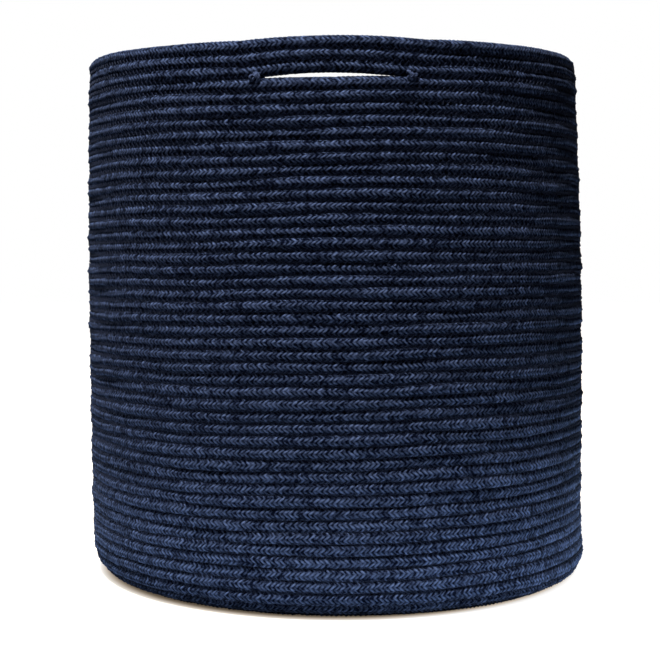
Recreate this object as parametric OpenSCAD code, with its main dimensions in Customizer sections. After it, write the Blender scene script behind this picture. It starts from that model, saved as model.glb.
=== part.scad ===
// Round storage basket made of one long braided cotton rope. The rope is coiled flat for the base,
// turned up through a rounded corner and stacked into the wall. Each turn is sewn to the turn before
// it by a lockstitch with one thread on each face. Above the two hand slits the last turns arch up.
// Millimetres, +Z up. The origin is the middle of the underside and the front slit faces -Y.

/* [Rope] */
// Distance from one turn of rope to the next
pitch = 7.9; // [6:0.1:9.4]
// Thickness of the wall and of the base
thick = 9; // [8:0.1:9.6]
// Diameter of the rope before the seams squeeze it
rope_d = 9.8; // [9.6:0.1:12]
// Gap left between sewn turns
seam_gap = 0.1; // [0.08:0.01:0.3]
// Gap left between the two halves of a turn that climbs
half_gap = 0.05; // [0.02:0.01:0.2]

/* [Basket] */
// Turns of rope in the flat base
base_turns = 21; // [10:1:26]
// Turns of rope in the rounded corner between base and wall
corner_turns = 3; // [3:1:5]
// Turns of rope in the wall below the hand slits
wall_turns = 42; // [10:1:42]
// Turns of rope above the hand slits
rim_turns = 3; // [2:1:4]
// Direction in which the rope starts and ends, counted from +X
end_angle = 140; // [125:1:160]
// Length over which the rope's last end thins out
tail = 80; // [30:1:100]

/* [Hand slits] */
// Length over which the rope arches, from one end of its rise to the other
arch_w = 112; // [60:1:150]
// Height of the open slit at its middle
slit_h = 6; // [4.5:0.1:12]

/* [Thread] */
// Thickness of each sewing thread with its stitches
thread_d = 1; // [0.6:0.1:1.2]
// Width of the thread knots at the ends of the slits
tack_d = 8; // [4:0.1:10]
// Thickness of those knots on each face of the wall
tack_t = 1.2; // [0.6:0.1:2]
// Thickness of the thread that joins the two knots through the slit
tack_thread = 0.9; // [0.5:0.1:2]

/* [Hidden] */
CORNERS = [for (i = [1 : corner_turns]) str("corner_row_", i)];
WALLS = [for (i = [1 : wall_turns]) str("wall_row_", i)];
RIMS = [for (i = [1 : rim_turns]) str("rim_row_", i)];
$fn = 96;

rope_colour = "#262e49";
thread_colour = "#1d2440";
// Half turns are counted from the rope's first end
base_halves = 2 * base_turns;
corner_halves = 2 * corner_turns;
first_wall = base_halves + corner_halves;
first_rim = first_wall + 2 * wall_turns;
last = first_rim + 2 * rim_turns;
// The corner's arc is as long as its turns are wide
corner_r = 2 * corner_turns * pitch / PI;
flat_r = pitch / 2 * (base_halves + 1);
wall_r = flat_r + corner_r;
thread_off = rope_d / 2 + thread_d / 2 + 0.05;
arch_angle = arch_w / 2 / wall_r * 180 / PI;
// The knots sit where the slit is just open enough for their thread
tack_gap = tack_thread + seam_gap;
tack_angle = arch_angle * sqrt(1 - tack_gap / slit_h);
FRONT = 270;
BACK = 90;
STEP = 4;
THREAD_SIDES = 8;

// Radius and height of the rope's centre line at the start of half turn k
function at(k) =
    k <= base_halves ? [pitch / 2 * (k + 1), thick / 2] :
    k <= first_wall ? [flat_r + corner_r * sin(lean(k)), thick / 2 + corner_r * (1 - cos(lean(k)))] :
    [wall_r, thick / 2 + corner_r + pitch / 2 * (k - first_wall)];
// Direction in which the turns follow each other: 0 outwards in the base, 90 upwards in the wall
function lean(k) = k <= base_halves ? 0 : k >= first_wall ? 90 : 90 * (k - base_halves) / corner_halves;
function unit(v) = v / norm(v);
// Place of the thread between half turns k - 1 and k + 1, on the outer face or the inner one
function seam(k, side) =
    let (a = at(k - 1), b = at(k + 1), d = unit(b - a))
    (a + b) / 2 + side * [d.y, -d.x] * sqrt(pow(thread_off, 2) - pow(norm(b - a) / 2, 2));

// A half turn from one radius and height to the next. Even ones are at the back of the coil.
// In the flat base they join into one solid. Climbing ones stop just short of the next.
module half_turn(k, from, to) {
    arm = (from.x + to.x) / 2;
    reach = norm([arm, (to.y - from.y) / 2]);
    stop = to.y > from.y ? half_gap / reach * 180 / PI : 0;
    rotate([0, 0, end_angle + 180 * (k % 2)])
        translate([(from.x - to.x) / 2, 0, (from.y + to.y) / 2])
            rotate([0, asin((to.y - from.y) / 2 / reach), 0])
                rotate_extrude(angle = 180 - stop) translate([reach, 0]) children();
}

// The squeezed rope: round, flat on both faces, and flat against the turns on either side
module rope_section(k) {
    here = (at(k) + at(k + 1)) / 2;
    tilt = (lean(k) + lean(k + 1)) / 2;
    intersection() {
        circle(d = rope_d);
        rotate(tilt) square([2 * rope_d, thick], center = true);
        beside(k, here, (at(k + 2) + at(k + 3)) / 2);
        if (k >= 2) beside(k, here, (at(k - 2) + at(k - 1)) / 2);
    }
}

// Everything on this side of the seam with a neighbouring turn
module beside(k, here, there) {
    way = there - here;
    rotate(atan2(way.y, way.x)) translate([(norm(way) - seam_gap) / 2 - 2 * rope_d, -rope_d])
        square([2 * rope_d, 2 * rope_d]);
}

module rope(from, to) {
    color(rope_colour) for (k = [from : to - 1]) half_turn(k, at(k), at(k + 1)) rope_section(k);
}

module thread(from, to, side) {
    color(thread_colour) for (k = [from : to - 1])
        half_turn(k, seam(k + 1, side), seam(k + 2, side)) circle(d = thread_d, $fn = THREAD_SIDES);
}

// The rope's first end, folded flat into the eye of the coil
module rope_start() {
    color(rope_colour) rotate([0, 0, end_angle]) linear_extrude(thick) {
        eye(0.75 * pitch, pitch / 4, -1);
        eye(0.25 * pitch, -pitch / 4, 1);
    }
}

module eye(r, x, side) {
    intersection() {
        translate([x, 0]) circle(r - seam_gap);
        translate([-2 * pitch, side > 0 ? 0 : -4 * pitch]) square(4 * pitch);
    }
}

// Height that the half turns above the slits gain by the angle a, counted from the rope's ends
function climb(a) = pitch / 4 * (floor(a / 180) * 2 + 1 - cos(a % 180));
function off(a, middle) = let (d = (a + end_angle - middle + 3600) % 360) d > 180 ? d - 360 : d;
function arch(a, middle) =
    let (x = off(a, middle) / arch_angle) abs(x) < 1 ? slit_h * (1 - x * x) : 0;
function rise(a) = climb(a) + arch(a, FRONT) + arch(a, BACK);

// Outline of the squeezed rope as points, from its outer face round
function rope_outline() =
    let (r = rope_d / 2, t = thick / 2, p = (pitch - seam_gap) / 2,
        low = acos(t / r), high = asin(p / r), mid = (low + high) / 2)
    [for (q = [0 : 3], a = q % 2 == 0 ? [low, mid, high] : [-high, -mid, -low])
        r * [cos(a + 180 * ceil(q / 2)), sin(a + 180 * ceil(q / 2))]];
function thread_outline() = [for (i = [0 : 5]) thread_d / 2 * [cos(60 * i), sin(60 * i)]];

// A closed solid along the rings of points given, with both ends capped
module skin(rings) {
    n = len(rings[0]);
    m = len(rings);
    polyhedron(
        points = [for (ring = rings, p = ring) p],
        faces = concat(
            [[for (i = [0 : n - 1]) i]],
            [for (j = [0 : m - 2], i = [0 : n - 1], f = [
                [j * n + i, (j + 1) * n + i, (j + 1) * n + (i + 1) % n],
                [j * n + i, (j + 1) * n + (i + 1) % n, j * n + (i + 1) % n]]) f],
            [[for (i = [n - 1 : -1 : 0]) (m - 1) * n + i]]));
}

function ring(outline, r, z, a) =
    [for (p = outline) [(r + p.x) * cos(a + end_angle), (r + p.x) * sin(a + end_angle), z + p.y]];
// Share of the rope's height left at the angle a of the last turn
function taper(i, a) = i < rim_turns ? 1 : min(1, max(0.2, (360 - a) / (tail / wall_r * 180 / PI)));

module rim_row(i) {
    base = at(first_rim + 2 * (i - 1)).y;
    outline = rope_outline();
    color(rope_colour) skin([for (a = [0 : STEP : 360])
        let (s = taper(i, a), low = -pitch / 2, flat = [for (p = outline) [p.x, low + (p.y - low) * s]])
        ring(flat, wall_r, base + rise(a), a)]);
}

// Thread between row i above the slits and the row under it, on the outer face or the inner one
module rim_seam(i, side, from, to) {
    base = at(first_rim + 2 * (i - 1)).y - pitch / 2;
    reach = wall_r + side * sqrt(pow(thread_off, 2) - pow(pitch / 2, 2));
    count = round((to - from) / STEP);
    color(thread_colour) skin([for (j = [0 : count]) let (a = from + (to - from) * j / count)
        ring(thread_outline(), reach, base + rise(a), a)]);
}

module rim_thread() {
    turn = 360 - end_angle;
    for (side = [-1, 1]) {
        for (i = [2 : rim_turns]) rim_seam(i, side, 0, 360);
        rim_seam(1, side, BACK + arch_angle + turn - 360, FRONT - arch_angle - end_angle);
        rim_seam(1, side, FRONT + arch_angle - end_angle, BACK - arch_angle + turn);
    }
}

// Thread knots on both faces of the wall at one end of a slit, joined through it
module tack(middle, side) {
    a = (middle + side * tack_angle - end_angle + 360) % 360;
    head = thick / 2 + seam_gap;
    color(thread_colour) rotate([0, 0, a + end_angle])
        translate([wall_r, 0, at(first_rim).y - pitch / 2 + climb(a) + tack_gap / 2])
            rotate([0, 90, 0]) {
                cylinder(d = tack_thread, h = 2 * head, center = true);
                for (s = [-1, 1]) translate([0, 0, s * (head + tack_t / 2)])
                    cylinder(d = tack_d, h = tack_t, center = true);
            }
}

inner_end = 2 * floor(base_turns / 3);
middle_end = 4 * floor(base_turns / 3);
union() {  // base_coil_centre
    rope_start();
    rope(0, inner_end);
}
rope(inner_end, middle_end);  // base_coil_middle
rope(middle_end, base_halves);  // base_coil_edge
for (i = [1 : corner_turns]) rope(base_halves + 2 * i - 2, base_halves + 2 * i);
for (i = [1 : wall_turns]) rope(first_wall + 2 * i - 2, first_wall + 2 * i);
for (i = [1 : rim_turns]) rim_row(i);
thread(0, base_halves - 1, -1);  // base_thread_upper
thread(0, base_halves - 1, 1);  // base_thread_lower
thread(base_halves - 1, first_rim - 2, 1);  // wall_thread_outer
thread(base_halves - 1, first_rim - 2, -1);  // wall_thread_inner
rim_thread();
tack(FRONT, -1);  // tack_front_left
tack(FRONT, 1);  // tack_front_right
tack(BACK, 1);  // tack_back_left
tack(BACK, -1);  // tack_back_right
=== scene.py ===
# %% [markdown]
# # A round storage basket made of one coiled cotton rope
# The real basket is a single braided rope, about 67 m long. A sewing machine joins each turn to the
# one before it: first flat for the base, then round a soft corner, then up the wall. Under the rim the
# seam is left open twice, which makes the two hand slits. This lesson rebuilds it in that order.

# %% Frame
import bpy
import numpy as np
from math import ceil, cos, pi, radians, sqrt
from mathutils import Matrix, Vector


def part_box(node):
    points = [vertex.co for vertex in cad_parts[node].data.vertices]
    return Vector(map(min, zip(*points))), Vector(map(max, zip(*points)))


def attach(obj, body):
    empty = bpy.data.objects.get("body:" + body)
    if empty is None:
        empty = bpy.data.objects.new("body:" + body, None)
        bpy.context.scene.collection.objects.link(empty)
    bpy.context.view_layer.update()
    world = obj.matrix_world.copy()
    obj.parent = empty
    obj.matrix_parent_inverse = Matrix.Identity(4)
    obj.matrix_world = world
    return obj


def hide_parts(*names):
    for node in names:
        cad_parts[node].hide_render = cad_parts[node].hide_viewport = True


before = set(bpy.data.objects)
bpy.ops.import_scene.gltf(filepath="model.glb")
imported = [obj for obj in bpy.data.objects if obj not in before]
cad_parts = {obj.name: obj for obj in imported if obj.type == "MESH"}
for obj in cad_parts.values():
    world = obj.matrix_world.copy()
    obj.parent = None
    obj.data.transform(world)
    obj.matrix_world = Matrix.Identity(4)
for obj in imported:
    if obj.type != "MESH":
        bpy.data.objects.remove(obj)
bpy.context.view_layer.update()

# %% [markdown]
# ## Sizes come from the frame
# Nothing is measured twice. Two neighbouring wall rows give the pitch of the coil, the base gives the
# thickness, and one wall row gives the radius. The number of turns in the base follows from them.

# %% Sizes
def rows_named(start):
    return sum(1 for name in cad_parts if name.startswith(start))


corner_rows, wall_rows, rim_rows = (rows_named(k) for k in ("corner_row_", "wall_row_", "rim_row_"))
row_low, row_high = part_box("wall_row_20")
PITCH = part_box("wall_row_21")[0].z - row_low.z
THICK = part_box("base_coil_middle")[1].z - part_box("base_coil_middle")[0].z
WALL_R = (row_high.x - row_low.x - THICK) / 2
CORNER_R = 2 * corner_rows * PITCH / pi
BASE_TURNS = round((WALL_R - CORNER_R) / PITCH - 0.5)
WALL_AT = BASE_TURNS + corner_rows
RIM_AT = WALL_AT + wall_rows
LAST = RIM_AT + rim_rows
HEIGHT = THICK + CORNER_R + PITCH * (LAST - WALL_AT)
ROPE_START, FRONT, BACK = radians(140), radians(270), radians(90)
knot_low, knot_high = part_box("tack_front_right")
SLIT_HALF = (knot_low.x + knot_high.x) / 2 / WALL_R
print(f"pitch {PITCH * 1000:.2f} mm, thickness {THICK * 1000:.1f} mm, wall radius {WALL_R * 1000:.1f} mm,",
      f"{BASE_TURNS} base turns, {LAST} turns in all, height {HEIGHT * 1000:.0f} mm")

# %% [markdown]
# ## Camera
# The camera stands a little below the rim and looks down a little. From there the far rim stays hidden
# behind the near one, and the hand slit shows the bright room behind the basket. A long lens keeps the
# sides of the basket almost upright.

# %% Camera
CAMERA_SIDE, CAMERA_BACK, CAMERA_UP = -0.0054, 2.765 * HEIGHT, 0.6215 * HEIGHT
CAMERA_DIP = radians(3.05)

camera = bpy.data.objects.new("camera", bpy.data.cameras.new("camera"))
bpy.context.collection.objects.link(camera)
camera.location = (CAMERA_SIDE, -CAMERA_BACK, CAMERA_UP)
camera.rotation_euler = (pi / 2 - CAMERA_DIP, 0, 0)
camera.data.sensor_width = 36.0
camera.data.lens = 73.4
bpy.context.scene.camera = camera
print("camera at", [round(v, 3) for v in camera.location], "lens", camera.data.lens, "mm")

# %% [markdown]
# ## The path of the rope
# One number says where we are on the rope: the turn, counted from the rope's first end. The radius, the
# height and the lean of the row follow from it. A sewn basket is never a perfect drum, so slow waves
# then push the stack a few millimetres in and out and up and down. They are fields over the whole wall,
# so neighbouring rows move together and stay in touch.

# %% Ideal coil
def coil(turn):
    """Radius, height and lean of the rope's centre line: lean 0 in the base, a quarter turn in the wall."""
    lean = pi / 2 * np.clip((turn - BASE_TURNS) / corner_rows, 0, 1)
    r = PITCH * (np.minimum(turn, BASE_TURNS) + 0.5) + CORNER_R * np.sin(lean)
    z = THICK / 2 + CORNER_R * (1 - np.cos(lean)) + PITCH * np.maximum(turn - WALL_AT, 0)
    return r, z, lean


print("the last turn ends at radius and height", np.round(coil(LAST)[:2], 4))

# %% Slow waves over the wall
def wave_field(seed, count, around, up):
    """A smooth field over the wall, about -1 to 1, made of a few sine waves with fixed phases."""
    rng = np.random.default_rng(seed)
    k = rng.integers(1, around + 1, count)
    m = rng.uniform(-up, up, count)
    phase = rng.uniform(0, 2 * pi, count)
    size = rng.uniform(0.5, 1.0, count) / np.sqrt(k)
    size /= size.sum() * 0.5

    def field(angle, level):
        return sum(size[i] * np.sin(k[i] * angle + m[i] * level + phase[i]) for i in range(count))
    return field


bulge = wave_field(11, 9, 6, 7.0)
sag = wave_field(23, 16, 13, 14.0)
# Height over which the waves grow in, so that the basket stands flat, and the lean of the whole wall
RISEN_AT, LEAN_LEFT = 0.05, 0.0090
print("bulge at the front", np.round(bulge(np.full(3, FRONT), np.array([0.2, 0.5, 0.8])), 2))

# %% [markdown]
# ## Wear
# A soft basket narrows a little towards its rim, leans, and bulges where it was pushed. The rim stands
# higher at the sides than over the slits, and the rows above a slit arch up where a hand pulls them.
# Each of these is a small sum of the height and the angle, so it is easy to change one and see what it
# does. Cloth simulation would be of little use, because every turn is sewn to the next one.

# %% Arch over a slit
def arch(angle, reach, power):
    """1 at the middle of each slit, 0 from reach slit halves away. A higher power gives a sharper arch."""
    off = np.abs((angle - FRONT + pi / 2) % pi - pi / 2) / (SLIT_HALF * reach)
    return (1 - np.minimum(off, 1) ** 2) ** power


print("arch at the front and at the right", arch(FRONT, 1.0, 1.0), arch(0, 1.0, 1.0))

# %% Waist and pressed corner
def shaped_radius(turn, angle, r, z):
    """The radius of a worn turn, and how much of its corner is pressed out there, 0 to 1."""
    level = z / HEIGHT
    barrel = 1 - 0.027 * np.clip((level - 0.5) / 0.5, 0, 1) ** 1.7 - 0.007 * (1 - level) ** 3
    # The corner is pressed out a little at the front right, and in on the left
    low = np.exp(-((z - 0.010) / 0.018) ** 2) * (turn > BASE_TURNS)
    pressed = np.clip(np.cos(angle + 0.5), 0, 1) ** 3 * low
    r = r + 0.0033 * pressed - 0.0012 * np.clip(-np.cos(angle), 0, 1) ** 2 * low
    waves = (0.0011 * bulge(angle, level) + 0.0004 * np.sin(turn * 17.3)
             + 0.0003 * np.sin(turn * 40.1 + 1.7) + 0.0002 * np.sin(turn * 71.7))
    return r * barrel + np.clip(z / RISEN_AT, 0, 1) * waves, pressed


rim_r, rim_z, _ = coil(LAST)
print("radius of the rim at the back", round(shaped_radius(LAST, BACK, rim_r, rim_z)[0] * 1000, 1), "mm")

# %% Uneven rows and rim
def shaped_height(turn, angle, x, z):
    """The height of a worn turn: small waves, a rim that is high at the sides, and the opened slits."""
    level = z / HEIGHT
    calm = np.clip((1.03 - level) / 0.25, 0.3, 1)
    waves = (0.0014 * calm * sag(angle, level) + 0.00018 * np.sin(turn * 23.9 + 0.9)
             + 0.00014 * np.sin(turn * 57.3 + 2.1))
    sides = np.cos(angle)
    rim = (0.0010 + 0.0036 * sides ** 2 + 0.0052 * (np.sqrt(sides ** 2 + 0.03) - 0.17)
           - 0.0013 * sides ** 3)
    z = z + np.clip(z / RISEN_AT, 0, 1) * waves + level ** 4 * rim
    # Above a slit the rows arch up and press together; below it they rise a little to one side
    under = np.exp(-np.maximum(RIM_AT - turn, 0) / 4.0)
    below_rim = LAST - 1 - np.clip(turn, RIM_AT, LAST - 1)
    pulled = 0.0031 * arch(angle, 1.27, 1.2) + 0.0006 * below_rim * arch(angle, 1.1, 1.5)
    slack = (0.0003 + 0.0016 * np.clip(x / (WALL_R * SLIT_HALF), 0, 1)) * under * arch(angle, 1.3, 1.0)
    return z + np.where(turn >= RIM_AT, pulled, slack)


print("height of the rim at the left", round(float(shaped_height(LAST, pi, -rim_r, rim_z)) * 1000, 1), "mm")

# %% Worn coil
def worn(turn, r, z):
    """The place of a point of the coil after years of use."""
    angle = ROPE_START + 2 * pi * turn
    r, pressed = shaped_radius(turn, angle, r, z)
    x = r * np.cos(angle)
    z = shaped_height(turn, angle, x, z)
    return np.stack([x - LEAN_LEFT * z, r * np.sin(angle), z - 0.0014 * pressed], -1)


front_turn = (FRONT - ROPE_START) / (2 * pi)
edges = [worn(t, *coil(t)[:2])[2] for t in (RIM_AT - 1 + front_turn, RIM_AT + front_turn)]
print("heights of the rows below and above the front slit", np.round(edges, 4))

# %% [markdown]
# ## Guides
# A guide is a line of points along the rope. Each point carries the facts that the node trees need:
# where the centre of the rope is, which way is out of the wall, which way is up to the next turn, and
# which way the rope runs. The lengths of these arrows hold the rope's half thickness, its half height
# and the slant of its strands, so the trees only have to add arrows together.

# %% Stations along the rope
# Length of one strand on the face, how far its tip runs ahead, and the length of one stitch
STRAND, SLANT, STITCH = 0.0032, 0.0033, 0.0022
# Half the thickness of the wall, and how far a row is pressed into the next one
HALF_THICK, OVERLAP = THICK / 2, 0.0002


def stations(first, last, step):
    """Turn values evenly spaced along the rope, step metres apart."""
    fine = np.linspace(first, last, int((last - first) * 720) + 2)
    r, z, _ = coil(fine)
    run = np.hypot(np.diff(r), np.hypot(np.diff(z), 2 * pi * (r[1:] + r[:-1]) / 2 * np.diff(fine)))
    length = np.concatenate([[0], np.cumsum(run)])
    return np.interp(np.linspace(0, length[-1], int(round(length[-1] / step)) + 1), length, fine)


print("one wall turn has", len(stations(WALL_AT, WALL_AT + 1, STRAND / 2)), "rings of crests and gaps")

# %% Guide arrows
def guide_arrows(turn):
    """Centre, outward, upward and forward directions at each turn value, all in the worn basket."""
    r, z, lean = coil(turn)
    angle = ROPE_START + 2 * pi * turn
    centre = worn(turn, r, z)
    outward = np.stack([np.cos(angle), np.sin(angle), 0 * angle], -1)
    skyward = np.array([0.0, 0.0, 1.0])
    out = outward * np.sin(lean)[:, None] - skyward * np.cos(lean)[:, None]
    up = outward * np.cos(lean)[:, None] + skyward * np.sin(lean)[:, None]
    forward = np.gradient(centre, axis=0)
    forward /= np.linalg.norm(forward, axis=1)[:, None]
    return centre, out, up, forward


at_front = WALL_AT + front_turn + np.array([0, 1e-4])
print("out of the wall at the front", np.round(guide_arrows(at_front)[1][0], 3))

# %% Guide objects
def guide_object(name, lines):
    """A mesh of separate lines of points, with one named value per point for each fact given."""
    counts = [len(line["centre"]) for line in lines]
    mesh = bpy.data.meshes.new(name)
    mesh.vertices.add(sum(counts))
    facts = {key: np.concatenate([line[key] for line in lines]) for key in lines[0]}
    mesh.vertices.foreach_set("co", facts["centre"].astype(np.float32).ravel())
    starts = np.cumsum([0] + counts[:-1])
    pairs = np.concatenate([np.stack([np.arange(n - 1), np.arange(1, n)], -1) + s
                            for n, s in zip(counts, starts)])
    mesh.edges.add(len(pairs))
    mesh.edges.foreach_set("vertices", pairs.astype(np.int32).ravel())
    for key, values in facts.items():
        kind, field = ("FLOAT_VECTOR", "vector") if values.ndim == 2 else ("FLOAT", "value")
        mesh.attributes.new(key, kind, "POINT").data.foreach_set(field, values.astype(np.float32).ravel())
    mesh.update()
    ob = bpy.data.objects.new(name, mesh)
    bpy.context.collection.objects.link(ob)
    return ob


print("guides hold a centre, arrows and plain numbers for each point")

# %% [markdown]
# ## A small language for node trees
# Node trees are easier to read as sums than as boxes. This helper adds a node, joins its inputs and
# hands back its output, so a formula in the script looks like the formula in the tree.

# %% Tree helper
class Tree:
    """Adds nodes to a tree: numbers are set on sockets, outputs are linked to them."""

    def __init__(self, name, kind="GeometryNodeTree"):
        self.tree = bpy.data.node_groups.new(name, kind)

    @classmethod
    def of(cls, tree):
        """The same helper on a tree that is there already."""
        made = cls.__new__(cls)
        made.tree = tree
        return made

    def socket(self, name, kind, way="INPUT", value=None):
        made = self.tree.interface.new_socket(name, in_out=way, socket_type="NodeSocket" + kind)
        if value is not None:
            made.default_value = value
        return made

    def node(self, kind, inputs=(), output=0, **settings):
        made = self.tree.nodes.new(kind)
        for key, value in settings.items():
            setattr(made, key, value)
        for key, value in (inputs.items() if isinstance(inputs, dict) else enumerate(inputs)):
            if value is None:
                continue
            if isinstance(value, bpy.types.NodeSocket):
                self.tree.links.new(value, made.inputs[key])
            else:
                made.inputs[key].default_value = value
        return made.outputs[output] if output is not None else made

    def maths(self, operation, *values):
        return self.node("ShaderNodeMath", values, operation=operation)

    def vector(self, operation, *values):
        return self.node("ShaderNodeVectorMath", values, operation=operation)

    def scaled(self, arrow, factor):
        return self.node("ShaderNodeVectorMath", {0: arrow, "Scale": factor}, operation="SCALE")

    def named(self, name, kind="FLOAT"):
        return self.node("GeometryNodeInputNamedAttribute", {"Name": name}, data_type=kind)

    def stored(self, geometry, name, value):
        return self.node("GeometryNodeStoreNamedAttribute",
                         {"Geometry": geometry, "Name": name, "Value": value},
                         data_type="FLOAT", domain="POINT")

    def finished(self, geometry, material):
        """Smooth, plain and in its own material, as every tree ends."""
        smooth = self.node("GeometryNodeSetShadeSmooth", {"Geometry": geometry, "Shade Smooth": True})
        plain = self.node("GeometryNodeRealizeInstances", {0: smooth})
        dressed = self.node("GeometryNodeSetMaterial", {"Geometry": plain, "Material": material})
        self.node("NodeGroupOutput", {"Geometry": dressed}, output=None)


print("tree helper ready")

# %% [markdown]
# ## The braided rope
# A round braid of 16 strands shows eight columns of short slanting strands, and two columns meet in a V
# on the face of every row. One could draw that with a texture, but then the outline of each row would be
# smooth. Here the strands are real shape. Every ring of points follows the slant of the strands: one
# ring runs along the crests, the next one along the gaps beside them. So two rings for each strand are
# enough, and all 67 m of rope stay light. The rule is the same everywhere, so Geometry Nodes make it.

# %% Shape round one ring
# Points round the rope: one for the middle of each of the eight columns, one for each meeting line
AROUND = 16


def squeezed(t, across, along):
    """Distance from the middle to the edge, once the round rope is squeezed to a rounded square."""
    power = t.named("square")
    total = t.maths("ADD", t.maths("POWER", t.maths("ABSOLUTE", across), power),
                    t.maths("POWER", t.maths("ABSOLUTE", along), power))
    return t.maths("POWER", total, t.maths("DIVIDE", -1.0, power))


def strand_relief(t, given, crown, across):
    """How far a point stands out: crests do in the middle of a column, and sink where two columns meet."""
    high = t.node("ShaderNodeMix", {0: crown, 2: given["Column dip"], 3: given["Crest height"]})
    relief = t.node("ShaderNodeMix", {0: t.named("crest"), 2: given["Gap depth"], 3: high})
    chance = t.node("FunctionNodeRandomValue", {"Min": -1.0, "Max": 1.0, "Seed": given["Seed"]},
                    output=1, data_type="FLOAT")
    uneven = t.maths("MULTIPLY", chance, given["Unevenness"])
    # The strands are pressed flat where the row touches its neighbours
    facing = t.maths("MULTIPLY_ADD", t.maths("ABSOLUTE", across), 0.75, 0.25)
    return t.maths("MULTIPLY", t.maths("ADD", relief, uneven), facing)


print(AROUND, "points round the rope,", round(360 / AROUND, 1), "degrees apart")

# %% Rope tree
def rope_tree():
    t = Tree("braided rope")
    t.socket("Geometry", "Geometry")
    for name, value in (("Crest height", 0.095), ("Column dip", -0.05), ("Gap depth", -0.11),
                        ("Unevenness", 0.028)):
        t.socket(name, "Float", value=value)
    t.socket("Seed", "Int", value=3)
    t.socket("Material", "Material")
    t.socket("Geometry", "Geometry", "OUTPUT")
    given = t.node("NodeGroupInput", output=None).outputs
    line = t.node("GeometryNodeMeshToCurve", {0: given["Geometry"]})
    circle = t.node("GeometryNodeCurvePrimitiveCircle", {"Resolution": AROUND, "Radius": 0.001},
                    mode="RADIUS")
    circle = t.stored(circle, "column", t.node("GeometryNodeInputIndex"))
    tube = t.node("GeometryNodeCurveToMesh", {"Curve": line, "Profile Curve": circle, "Fill Caps": True})
    column = t.named("column")
    turned = t.maths("MULTIPLY_ADD", column, 2 * pi / AROUND, t.named("spin"))
    across, along = t.maths("COSINE", turned), t.maths("SINE", turned)
    crown = t.maths("MODULO", column, 2.0)
    size = t.maths("MULTIPLY", squeezed(t, across, along),
                   t.maths("ADD", 1.0, strand_relief(t, given, crown, across)))
    # The tips of the V lie on every fourth line of points
    wave = t.maths("SUBTRACT", t.maths("MODULO", t.maths("ADD", column, 2.0), 4.0), 2.0)
    tip = t.maths("DIVIDE", t.maths("ABSOLUTE", wave), 2.0)
    place = t.named("centre", "FLOAT_VECTOR")
    for arrow, factor in (("out", t.maths("MULTIPLY", across, size)),
                          ("up", t.maths("MULTIPLY", along, size)), ("forward", tip)):
        place = t.vector("ADD", place, t.scaled(t.named(arrow, "FLOAT_VECTOR"), factor))
    tube = t.node("GeometryNodeSetPosition", {"Geometry": tube, "Position": place})
    # The colour needs to know which points are crowns, for the painted shade where columns meet, and how
    # high on the row a point is
    tube = t.stored(t.stored(tube, "crown", crown), "rise", along)
    tube = t.node("GeometryNodeFlipFaces", {0: tube})
    t.finished(tube, given["Material"])
    return t.tree


ROPE_TREE = rope_tree()
print("rope tree:", len(ROPE_TREE.nodes), "nodes")

# %% [markdown]
# ## From tree to plain mesh
# A tree's result only lives as long as its modifier. The finished piece must be a plain mesh, so the
# evaluated guide is copied, and the guide and its modifier are thrown away. A modifier's inputs go by
# identifiers that Blender hands out, so the helper looks each one up by its readable name.

# %% Run a tree
def grown(name, guide, tree, values):
    """Runs a tree on a guide with the values given by name, and keeps the plain mesh that it makes."""
    modifier = guide.modifiers.new("grow", "NODES")
    modifier.node_group = tree
    for item in tree.interface.items_tree:
        if item.item_type == "SOCKET" and item.in_out == "INPUT" and item.name in values:
            modifier[item.identifier] = values[item.name]
    bpy.context.view_layer.update()
    graph = bpy.context.evaluated_depsgraph_get()
    mesh = bpy.data.meshes.new_from_object(guide.evaluated_get(graph), depsgraph=graph)
    mesh.name = name
    guide.modifiers.remove(modifier)
    bpy.data.objects.remove(guide)
    ob = bpy.data.objects.new(name, mesh)
    bpy.context.collection.objects.link(ob)
    return ob


print("sizes that the rope tree takes:", [i.name for i in ROPE_TREE.interface.items_tree
                                          if i.socket_type == "NodeSocketFloat"])

# %% [markdown]
# ## Flat maps for the finish
# A rope of a metre or more would make a very long, thin map. So the map of each tube is cut into
# strips that lie under one another and fill a square. Each point of a face finds its place from its
# ring along the rope and its column round it.

# %% Strip maps
# Length of the way round the rope and round the sewing thread
ROPE_GIRTH, THREAD_GIRTH = 0.0275, 0.0019


def strip_map(mesh, around, ring_length, girth):
    """Lays a tube's faces in strips in a square map, from the order of the points in rings."""
    corners = np.zeros(len(mesh.loops), np.int32)
    mesh.loops.foreach_get("vertex_index", corners)
    sides = np.zeros(len(mesh.polygons), np.int32)
    mesh.polygons.foreach_get("loop_total", sides)
    quads = np.repeat(sides == 4, sides)
    ring, column = corners // around, corners % around
    four_rings, four_columns = ring[quads].reshape(-1, 4), column[quads].reshape(-1, 4)
    first = four_rings.min(1)
    wraps = (four_columns.max(1) == around - 1) & (four_columns.min(1) == 0)
    round_at = np.where(wraps[:, None] & (four_columns == 0), around, four_columns)
    rings = len(mesh.vertices) // around
    strips = max(1, round(sqrt(rings * ring_length / girth)))
    wide = ceil(rings / strips)
    strip = first // wide
    u = (four_rings - (strip * wide)[:, None]) / wide * 0.99 + 0.005
    v = (strip[:, None] + 0.06 + 0.88 * round_at / around) / strips
    uv = np.full((len(corners), 2), 0.001, np.float32)
    uv[quads] = np.stack([u, v], -1).reshape(-1, 2)
    layer = mesh.uv_layers.new(name="OFBake")
    layer.uv.foreach_set("vector", uv.ravel())


print("a 1.2 m turn gets", round(sqrt(2 * pi * WALL_R / ROPE_GIRTH)), "strips")
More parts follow.
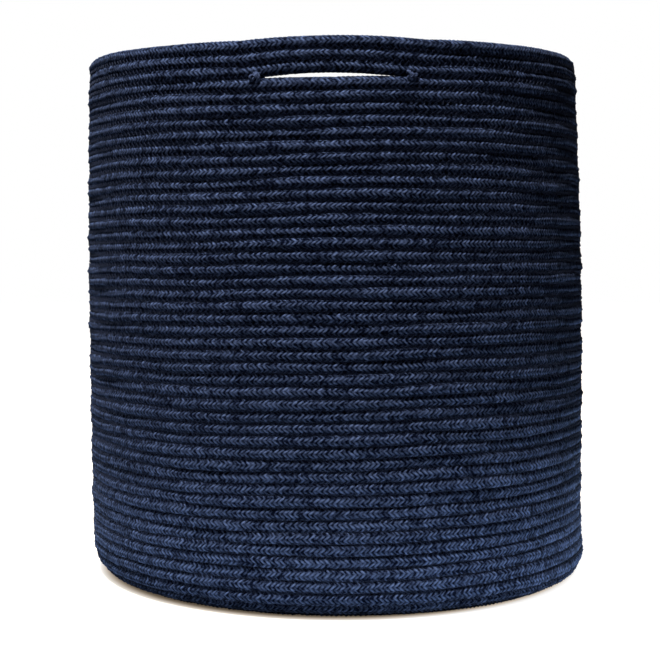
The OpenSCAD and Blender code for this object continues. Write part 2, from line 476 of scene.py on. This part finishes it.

# %% [markdown]
# ## Cotton
# The cotton is dark navy, dull and a little hairy. The strands keep their colour on the crests, and
# shade is painted darker into the gaps between them. A group of nodes adds the grain of the fibres and
# slow changes of the dye, and both the rope and the sewing thread use it with their own values.

# %% Cotton group
def cotton_group():
    t = Tree("cotton fibres", "ShaderNodeTree")
    for name, kind, value in (("Dye and gap shade", "Color", (0.03, 0.04, 0.08, 1)),
                              ("Faded", "Color", (0.05, 0.06, 0.1, 1)), ("Raised", "Float", 0.5),
                              ("Grain size", "Float", 900.0), ("Dye change", "Float", 0.3)):
        t.socket(name, kind, value=value)
    for name, kind in (("Color", "Color"), ("Roughness", "Float"), ("Height", "Float")):
        t.socket(name, kind, "OUTPUT")
    given = t.node("NodeGroupInput", output=None).outputs
    place = t.node("ShaderNodeTexCoord", output="Object")
    fine = t.node("ShaderNodeTexNoise", {"Vector": place, "Scale": given["Grain size"], "Detail": 3.0,
                                         "Roughness": 0.65})
    slow = t.node("ShaderNodeTexNoise", {"Vector": place, "Scale": 26.0, "Detail": 3.0, "Roughness": 0.6})
    strand = t.node("ShaderNodeTexNoise", {"Vector": place, "Scale": 330.0, "Detail": 1.0})
    change = t.maths("ADD", t.maths("MULTIPLY", t.maths("SUBTRACT", slow, 0.5), 0.4),
                     t.maths("MULTIPLY", t.maths("SUBTRACT", strand, 0.5), 1.8))
    change = t.maths("ADD", change, t.maths("MULTIPLY", t.maths("SUBTRACT", fine, 0.5), 1.5))
    change = t.maths("MULTIPLY", change, given["Dye change"])
    # A low Raised, as in the rope's gaps, picks the dark colour, which there is painted shade
    shade = t.node("ShaderNodeClamp", {0: t.maths("ADD", given["Raised"], change), 1: 0.0, 2: 1.0})
    color = t.node("ShaderNodeMix", {0: shade, 6: given["Dye and gap shade"], 7: given["Faded"]}, output=2,
                   data_type="RGBA")
    rough = t.node("ShaderNodeMapRange", {0: fine, 1: 0.3, 2: 0.7, 3: 0.82, 4: 1.0})
    height = t.maths("ADD", fine, t.maths("MULTIPLY", strand, 1.5))
    t.node("NodeGroupOutput", {"Color": color, "Roughness": rough, "Height": height}, output=None)
    return t.tree


COTTON = cotton_group()
print("cotton group:", len(COTTON.nodes), "nodes")

# %% [markdown]
# ## Needle holes
# The needle goes through the rope beside each seam, once for every two stitches, and leaves a pit in
# the braid. The pits are smaller than the strands, so their shade is painted: the rope tree stores how
# far along the row and how high on it a point is, and the colour darkens near the place of each pit.

# %% Needle holes
HOLE_STEP = 2 * STITCH
# How high on the row the holes are, from 0 in its middle to 1 at the seam, and their radii
HOLE_RISE, HOLE_INNER, HOLE_OUTER = 0.66, 0.0004, 0.0012


def needle_hole_shade(t):
    """1 in the painted shade of the pits where the needle went through the rope, beside the seams above and
    below a row.
    """
    run, rise = (t.node("ShaderNodeAttribute", output="Fac", attribute_name=a) for a in ("run", "rise"))
    count = t.maths("ADD", t.maths("DIVIDE", run, HOLE_STEP),
                    t.maths("MULTIPLY", t.maths("SIGN", rise), 0.25))
    past = t.maths("ABSOLUTE", t.maths("SUBTRACT", t.maths("FRACT", count), 0.5))
    beside = t.maths("MULTIPLY", past, HOLE_STEP)
    above = t.maths("MULTIPLY", t.maths("SUBTRACT", t.maths("ABSOLUTE", rise), HOLE_RISE), PITCH / 2)
    squares = t.maths("ADD", t.maths("POWER", beside, 2.0),
                      t.maths("POWER", t.maths("ABSOLUTE", above), 2.0))
    return t.node("ShaderNodeMapRange", {0: t.maths("SQRT", squares), 1: HOLE_INNER, 2: HOLE_OUTER,
                                         3: 1.0, 4: 0.0}, interpolation_type="SMOOTHSTEP")


print("needle holes every", round(HOLE_STEP * 1000, 1), "mm")

# %% [markdown]
# ## Three cottons
# The rope's crests have the dusty blue of the worn cotton, and its gaps are painted near black as shade.
# The sewing thread is thinner and darker. The knots lie on top and are rubbed by hands, so they have faded
# too.

# %% Cotton materials
def cotton_material(name, dye_and_gap_shade, faded, raised, grain, change, bump, sheen, sheen_tint):
    """A dull fabric. raised is how far a point stands out of the weave: a number, or attribute names; on the
    rope, low ones get painted shade.
    """
    material = bpy.data.materials.new(name)
    material.use_nodes = True
    t = Tree.of(material.node_tree)
    surface = t.tree.nodes["Principled BSDF"]
    fibres = t.node("ShaderNodeGroup", output=None, node_tree=COTTON)
    for key, value in (("Dye and gap shade", dye_and_gap_shade), ("Faded", faded), ("Grain size", grain), ("Dye change", change)):
        fibres.inputs[key].default_value = value
    if isinstance(raised, float):
        fibres.inputs["Raised"].default_value = raised
    else:
        # Painted shade: the gaps between strands and the lines where columns meet get the dark colour, and
        # so do the needle holes
        crest, crown = (t.node("ShaderNodeAttribute", output="Fac", attribute_name=a) for a in raised)
        unshaded_share = t.maths("MULTIPLY", crest, t.maths("MULTIPLY_ADD", crown, 0.55, 0.45))
        unshaded_share = t.maths("MULTIPLY", unshaded_share, t.maths("SUBTRACT", 1.0, needle_hole_shade(t)))
        t.tree.links.new(unshaded_share, fibres.inputs["Raised"])
    lumps = t.node("ShaderNodeBump", {"Strength": bump, "Distance": 0.0005,
                                      "Height": fibres.outputs["Height"]})
    t.tree.links.new(fibres.outputs["Color"], surface.inputs["Base Color"])
    t.tree.links.new(fibres.outputs["Roughness"], surface.inputs["Roughness"])
    t.tree.links.new(lumps, surface.inputs["Normal"])
    surface.inputs["Specular IOR Level"].default_value = 0.02
    surface.inputs["Sheen Weight"].default_value = sheen
    surface.inputs["Sheen Roughness"].default_value = 0.45
    surface.inputs["Sheen Tint"].default_value = sheen_tint
    return material


# The rope's first colour is painted shade for its gaps, the second the worn blue of its crests
ROPE_COTTON = cotton_material("navy cotton rope", (0.0006, 0.0016, 0.0065, 1), (0.064, 0.088, 0.166, 1),
                              ("crest", "crown"), 1400.0, 0.62, 1.0, 0.02, (0.55, 0.62, 0.85, 1))
THREAD_COTTON = cotton_material("navy sewing thread", (0.003, 0.005, 0.012, 1), (0.010, 0.014, 0.032, 1),
                                0.5, 2600.0, 0.4, 0.4, 0.1, (0.6, 0.65, 0.85, 1))
KNOT_COTTON = cotton_material("navy knot thread", (0.002, 0.004, 0.011, 1), (0.050, 0.066, 0.124, 1),
                              0.5, 1400.0, 0.9, 0.8, 0.02, (0.6, 0.65, 0.85, 1))
print("materials:", ROPE_COTTON.name, THREAD_COTTON.name, KNOT_COTTON.name)

# %% [markdown]
# ## One rope, many rows
# The rope is cut into the same rows as the frame, so that each row can be picked up by its own name.
# The guide of every row starts where the row before it stopped, and the strands run on across the cut.

# %% Size of the rope
def half_height(turn, centre):
    """Each row reaches up and down as far as its neighbours, so the wall stays closed where it stretches."""
    reach = 0
    for neighbour in (np.minimum(turn + 1, LAST), np.maximum(turn - 1, 0)):
        gap = np.linalg.norm(guide_arrows(neighbour)[0] - centre, axis=1)
        reach = reach + np.clip(gap, 0.92 * PITCH, 1.14 * PITCH)
    return reach / 4 + OVERLAP


def thinned(turn):
    """1 along the rope, less at its two ends, where it is thinned out to lie flat."""
    return np.clip((LAST - turn) / 0.07, 0.25, 1) * np.clip((turn + 0.42) / 0.25, 0.3, 1)


def twist(turn):
    """The slow turning of the braid about its own middle, in radians."""
    return (0.40 * np.sin(turn * 1.9 + 1.0) + 0.28 * np.sin(turn * 4.3 + 0.4) + 0.22 * np.sin(turn * 9.1)
            + 0.16 * np.sin(turn * 67.0) + 0.10 * np.sin(turn * 151.0 + 1.3))


print("twist over one turn", np.round(twist(np.linspace(WALL_AT, WALL_AT + 1, 5)), 2), "radians")

# %% Rope guide
def rope_guide(name, first, last):
    turn = stations(first, last, STRAND / 2)
    rng = np.random.default_rng(1000 + int(10 * first))
    centre, out, up, forward = guide_arrows(turn)
    fat = 1 + 0.014 * np.sin(turn * 31.0) + 0.012 * np.sin(turn * 53.0 + 2.0)
    thin = thinned(turn)
    # Beside a slit nothing presses on the rope, so it is rounder there
    free = arch(ROPE_START + 2 * pi * turn, 1.1, 1.0) * ((turn >= RIM_AT - 1) & (turn <= RIM_AT + 1))
    half_tall = half_height(turn, centre)
    centre = centre - up * ((1 - thin) * half_tall * (turn > 1))[:, None]
    half_deep = HALF_THICK * fat * (0.6 + 0.4 * thin) * (1 - 0.03 * free)
    steps = np.linalg.norm(np.diff(centre, axis=0), axis=1)
    return guide_object(name, [{
        "centre": centre, "out": out * half_deep[:, None],
        "up": up * (half_tall * thin * (1 + 0.07 * free))[:, None],
        "forward": forward * (SLANT * np.clip(coil(turn)[0] / 0.02, 0.2, 1))[:, None],
        "spin": twist(turn), "run": np.concatenate([[0], np.cumsum(steps)]),
        # The rows at the foot carry the rest and are squeezed squarer
        "square": 2.0 + 1.5 * np.exp(-(centre[:, 2] / 0.11) ** 2),
        "crest": (np.arange(len(turn)) % 2) * rng.uniform(0.45, 1.25, len(turn))}])


print("half height of a row where nothing stretches", round((PITCH / 2 + OVERLAP) * 1000, 2), "mm")

# %% Rope rows
def dressed(ob, node, slot):
    """Gives the finished piece its body and its place in the frame, where it hides the frame's part. slot is
    not used.
    """
    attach(ob, "root")
    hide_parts(node)
    return ob


third = BASE_TURNS // 3
rope_parts = [("base_coil_centre", -0.40, third), ("base_coil_middle", third, 2 * third),
              ("base_coil_edge", 2 * third, BASE_TURNS)]
for start, at, count in (("corner_row_", BASE_TURNS, corner_rows), ("wall_row_", WALL_AT, wall_rows),
                         ("rim_row_", RIM_AT, rim_rows)):
    rope_parts += [(start + str(i + 1), at + i, at + i + 1) for i in range(count)]
faces = 0
for node, first, last in rope_parts:
    rope = grown("rope_" + node, rope_guide("guide", first, last), ROPE_TREE,
                 {"Material": ROPE_COTTON, "Seed": len(node) + int(first)})
    strip_map(rope.data, AROUND, STRAND / 2, ROPE_GIRTH)
    dressed(rope, node, "rope")
    faces += len(rope.data.polygons)
print(len(rope_parts), "lengths of rope,", faces, "faces")

# %% [markdown]
# ## Sewing thread
# The machine sews a zigzag over every seam, with one thread on each face of the wall. Each stitch is
# only a few millimetres long, and there are tens of thousands of them, so each gets just a few faces.
# A tree takes a line of points along the seam and swings every second one up and the rest down.

# %% Stitch tree
THREAD_SIDES = 4


def stitch_tree():
    t = Tree("zigzag stitches")
    t.socket("Geometry", "Geometry")
    t.socket("Swing", "Float", value=0.0015)
    t.socket("Thread radius", "Float", value=0.0003)
    t.socket("Unevenness", "Float", value=0.0002)
    t.socket("Seed", "Int", value=5)
    t.socket("Material", "Material")
    t.socket("Geometry", "Geometry", "OUTPUT")
    given = t.node("NodeGroupInput", output=None).outputs
    side = t.maths("MULTIPLY_ADD", t.named("side"), 2.0, -1.0)
    chance = t.node("FunctionNodeRandomValue", {0: (-1, -1, -1), 1: (1, 1, 1), "Seed": given["Seed"]},
                    data_type="FLOAT_VECTOR")
    shift = t.scaled(t.named("up", "FLOAT_VECTOR"), t.maths("MULTIPLY", side, given["Swing"]))
    shift = t.vector("ADD", shift, t.scaled(chance, given["Unevenness"]))
    line = t.node("GeometryNodeSetPosition", {"Geometry": given["Geometry"], "Offset": shift})
    line = t.node("GeometryNodeMeshToCurve", {0: line})
    circle = t.node("GeometryNodeCurvePrimitiveCircle",
                    {"Resolution": THREAD_SIDES, "Radius": given["Thread radius"]}, mode="RADIUS")
    tube = t.node("GeometryNodeCurveToMesh", {"Curve": line, "Profile Curve": circle, "Fill Caps": True})
    t.finished(tube, given["Material"])
    return t.tree


STITCH_TREE = stitch_tree()
print("stitch tree:", len(STITCH_TREE.nodes), "nodes")

# %% Seam lines
def seam_line(first, last, side):
    """Points along the seam between a turn and the next one, on the outer face (1) or the inner (-1)."""
    turn = stations(first, last, STITCH)
    here, out, up, _ = guide_arrows(turn)
    there, out_next, up_next, _ = guide_arrows(turn + 1)
    out = out + out_next
    out /= np.linalg.norm(out, axis=1)[:, None]
    up = up + up_next
    up /= np.linalg.norm(up, axis=1)[:, None]
    gap = np.linalg.norm(there - here, axis=1)[:, None]
    deep = HALF_THICK * 0.86 - 0.25 * np.clip(gap - PITCH, 0, 0.004)
    return {"centre": (here + there) / 2 + side * out * deep, "up": up,
            "side": (np.arange(len(turn)) % 2).astype(float)}


def between_slits(side):
    """The first seam above the slits is only sewn between them."""
    open_half = SLIT_HALF * 1.02 / (2 * pi)
    front, back = ((m - ROPE_START) / (2 * pi) % 1 for m in (FRONT, BACK))
    runs = [(back + open_half - 1, front - open_half), (front + open_half, back - open_half)]
    return [seam_line(RIM_AT - 1 + max(a, 0), RIM_AT - 1 + b, side) for a, b in runs]


print("points on the first wall seam", len(seam_line(WALL_AT, WALL_AT + 1, 1)["side"]))

# %% Seams
seams = {
    "base_thread_lower": [seam_line(0, BASE_TURNS - 1, 1)],
    "base_thread_upper": [seam_line(0, BASE_TURNS - 1, -1)],
    "wall_thread_outer": [seam_line(BASE_TURNS - 1, RIM_AT - 1, 1)],
    "wall_thread_inner": [seam_line(BASE_TURNS - 1, RIM_AT - 1, -1)],
    "rim_thread": [line for side in (1, -1)
                   for line in between_slits(side) + [seam_line(RIM_AT, LAST - 1, side)]],
}
for node, lines in seams.items():
    thread = grown("stitches_" + node, guide_object("guide", lines), STITCH_TREE,
                   {"Material": THREAD_COTTON, "Swing": 0.0015})
    strip_map(thread.data, THREAD_SIDES, STITCH, THREAD_GIRTH)
    dressed(thread, node, "thread")
    print(thread.name, len(thread.data.polygons), "faces")

# %% [markdown]
# ## Knots at the ends of the slits
# At each end of a slit the machine sews on the spot, so a small bundle of thread ties the two rows
# together on both faces. A few bent threads beside one another, each pulled down a little differently,
# make the bundle.

# %% Knot lines
# Threads in one knot, and their distance from one another along the wall
KNOT_THREADS, KNOT_STEP = 5, 0.0011


def knot_line(middle, side, rng, k):
    """One bent thread of the bundle, round both rows and through the wall."""
    at = middle + side * (SLIT_HALF + (k - KNOT_THREADS // 2) * KNOT_STEP / WALL_R)
    turn = RIM_AT - 1 + ((at - ROPE_START) / (2 * pi)) % 1
    spread = turn + np.array([-1e-4, 1e-4])
    low, out, up, _ = (v.mean(0) for v in guide_arrows(spread))
    high = guide_arrows(spread + 1)[0].mean(0)
    half = np.linalg.norm(high - low) / 2
    a = np.linspace(0, 2 * pi, 17)
    flat = np.abs(np.cos(a)) ** 0.6 * np.sign(np.cos(a))
    tall = np.abs(np.sin(a)) ** 0.8 * np.sign(np.sin(a))
    reach = HALF_THICK + 0.0003 + rng.uniform(0, 0.0008)
    wave = 0.0016 * np.sin(a * 2 + rng.uniform(0, 6))
    pull = rng.uniform(0.45, 0.8)
    points = ((low + high) / 2 + out * (flat * reach)[:, None] + up * (tall * half * pull)[:, None]
              + np.cross(up, out) * wave[:, None])
    return {"centre": points, "up": np.zeros_like(points), "side": np.zeros(len(points))}


print("each knot has", KNOT_THREADS, "threads over", round(KNOT_STEP * KNOT_THREADS * 1000, 1), "mm")

# %% Knots
for node, middle, side in (("tack_front_left", FRONT, -1), ("tack_front_right", FRONT, 1),
                           ("tack_back_left", BACK, 1), ("tack_back_right", BACK, -1)):
    rng = np.random.default_rng(len(node) * 7 + side)
    bundle = guide_object("guide", [knot_line(middle, side, rng, k) for k in range(KNOT_THREADS)])
    knot = grown("knot_" + node, bundle, STITCH_TREE,
                 {"Material": KNOT_COTTON, "Swing": 0.0, "Thread radius": 0.0010, "Unevenness": 0.0006})
    dressed(knot, node, "thread")
print("four knots made")

# %% [markdown]
# ## White floor
# The basket stands on white paper in a white room, and the paper is lit so well that it looks pure
# white. A floor as bright as that would light the whole basket from below, and the grooves between the
# rows would fill up. So the floor is two things, told apart by the Light Path node. To the camera it glows
# white, with a thin warm shadow under the basket that is mostly painted into its glow. To everything
# else it is dark, apart from a narrow ring round the basket that throws a cool light on the lowest rows,
# more of it on the right.

# %% Floor
FLOOR_HALF = 6.0
floor_mesh = bpy.data.meshes.new("floor")
corners = [(-FLOOR_HALF, -FLOOR_HALF, 0), (FLOOR_HALF, -FLOOR_HALF, 0),
           (FLOOR_HALF, FLOOR_HALF, 0), (-FLOOR_HALF, FLOOR_HALF, 0)]
floor_mesh.from_pydata(corners, [], [(0, 1, 2, 3)])
floor = bpy.data.objects.new("floor", floor_mesh)
bpy.context.collection.objects.link(floor)
print("floor reaches", FLOOR_HALF, "m each way")

# %% Paper as the basket sees it
paper = bpy.data.materials.new("white paper")
paper.use_nodes = True
# The ring is dim enough to be found by chance, so Cycles need not treat the whole floor as a lamp
paper.cycles.emission_sampling = "NONE"
p = Tree.of(paper.node_tree)
place = p.node("ShaderNodeTexCoord", output="Object")
from_middle = p.node("ShaderNodeVectorMath", {0: place}, output="Value", operation="LENGTH")
ring = p.maths("MULTIPLY",
               p.node("ShaderNodeMapRange", {0: from_middle, 1: WALL_R + 0.06, 2: WALL_R + 0.17,
                                             3: 1.0, 4: 0.0}),
               p.node("ShaderNodeMapRange", {0: from_middle, 1: WALL_R, 2: WALL_R + 0.05}))
to_right = p.node("ShaderNodeSeparateXYZ", {0: place})
glow = p.node("ShaderNodeMapRange", {0: to_right, 1: -0.03, 2: 0.22, 3: 4.2, 4: 8.5})
dull = p.tree.nodes["Principled BSDF"]
dull.inputs["Base Color"].default_value = (0.05, 0.05, 0.055, 1)
dull.inputs["Roughness"].default_value = 0.9
dull.inputs["Emission Color"].default_value = (0.74, 0.88, 1, 1)
p.tree.links.new(p.maths("MULTIPLY", ring, glow), dull.inputs["Emission Strength"])
print("the ring ends", round(WALL_R + 0.17, 3), "m from the middle")

# %% Paper as the camera sees it
# Painted shadow: close to the basket the paper glows dimmer and warmer, a thin warm shadow painted in; its
# dim diffuse part also takes the real shadow
clear = p.node("ShaderNodeMapRange", {0: from_middle, 1: WALL_R - 0.013, 2: WALL_R + 0.002},
               interpolation_type="SMOOTHSTEP")
painted_shadow_tint = p.node("ShaderNodeMix", {0: clear, 6: (1.0, 0.78, 0.55, 1), 7: (1, 1, 1, 1)}, output=2,
              data_type="RGBA")
bright = p.node("ShaderNodeBsdfPrincipled", {
    "Base Color": (0.35, 0.28, 0.20, 1), "Roughness": 0.9, "Emission Color": painted_shadow_tint,
    "Emission Strength": p.maths("MULTIPLY_ADD", clear, 0.92, 0.10)})
looked_at = p.node("ShaderNodeLightPath", output="Is Camera Ray")
shown = p.node("ShaderNodeMixShader", {0: looked_at, 1: dull.outputs[0], 2: bright})
p.tree.links.new(shown, p.tree.nodes["Material Output"].inputs["Surface"])
floor_mesh.materials.append(paper)
print("paper material:", len(p.tree.nodes), "nodes")

# %% [markdown]
# ## Lamps and room
# A small soft lamp hangs high in front, a little to the left, so each row is bright on top and dark
# below, and the right side falls into shade. A weak cool lamp keeps the left edge from going black, and
# one behind lights the far rim. The room is white to the camera, and is hardly felt by the basket.

# %% Lights
def soft_light(name, place, target, size, power, tint=(1, 1, 1)):
    light = bpy.data.lights.new(name, "AREA")
    light.size, light.energy, light.color = size, power, tint
    ob = bpy.data.objects.new(name, light)
    bpy.context.collection.objects.link(ob)
    ob.location = place
    ob.rotation_euler = (Vector(target) - Vector(place)).to_track_quat("-Z", "Y").to_euler()
    return ob


soft_light("key light", (-0.40, -0.92, 2.60), (0, 0, 0.15), 0.5, 192)
soft_light("side light", (-1.5, 0.1, 1.1), (0, 0, 0.2), 1.1, 3.5, (0.7, 0.85, 1))
soft_light("back light", (0.5, 1.4, 1.9), (0, 0, 0.2), 1.2, 14)
print("three lights")

# %% Room
room = bpy.data.worlds.new("white room")
bpy.context.scene.world = room
room.use_nodes = True
w = Tree.of(room.node_tree)
w.tree.nodes.clear()
seen = w.node("ShaderNodeBackground", {"Color": (1, 1, 1, 1), "Strength": 1.0})
felt = w.node("ShaderNodeBackground", {"Color": (0.93, 0.96, 1, 1), "Strength": 0.005})
looked_at = w.node("ShaderNodeLightPath", output="Is Camera Ray")
mixed = w.node("ShaderNodeMixShader", {0: looked_at, 1: felt, 2: seen})
w.node("ShaderNodeOutputWorld", {"Surface": mixed}, output=None)
bpy.context.scene.view_settings.view_transform = "Standard"
print("white room ready")
